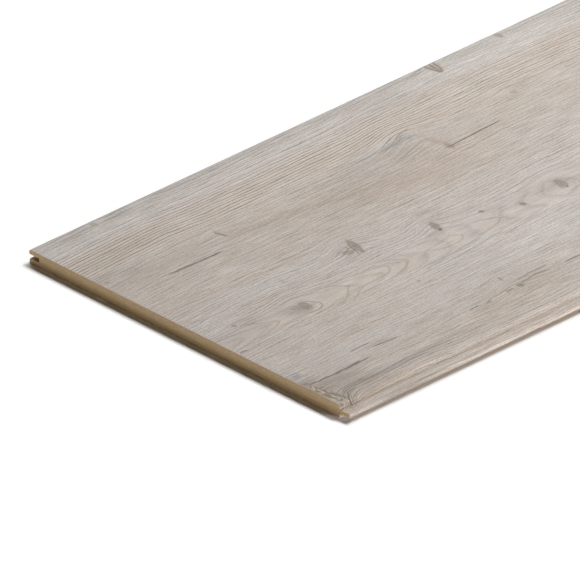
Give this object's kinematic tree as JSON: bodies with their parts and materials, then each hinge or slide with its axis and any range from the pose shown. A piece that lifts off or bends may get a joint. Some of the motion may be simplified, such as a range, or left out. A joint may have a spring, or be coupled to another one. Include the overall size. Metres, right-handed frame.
{
  "type": "mdf wall panel",
  "caption": "Long flat MDF wall panel wrapped in a weathered grey pine print, with a tongue along one long edge and a groove along the other, sawn square at the ends.",
  "frame": {"origin": "middle of the panel's box, on its back, tongue included", "axes": "+X across the panel towards the tongue, +Y along its length, +Z out of the printed face"},
  "size_m": [0.2578, 2.6, 0.008],
  "materials": {
    "wall_panel": "matte"
  },
  "bodies": {
    "root": {"wall_panel": "wall_panel"}
  },
  "joints": []
}
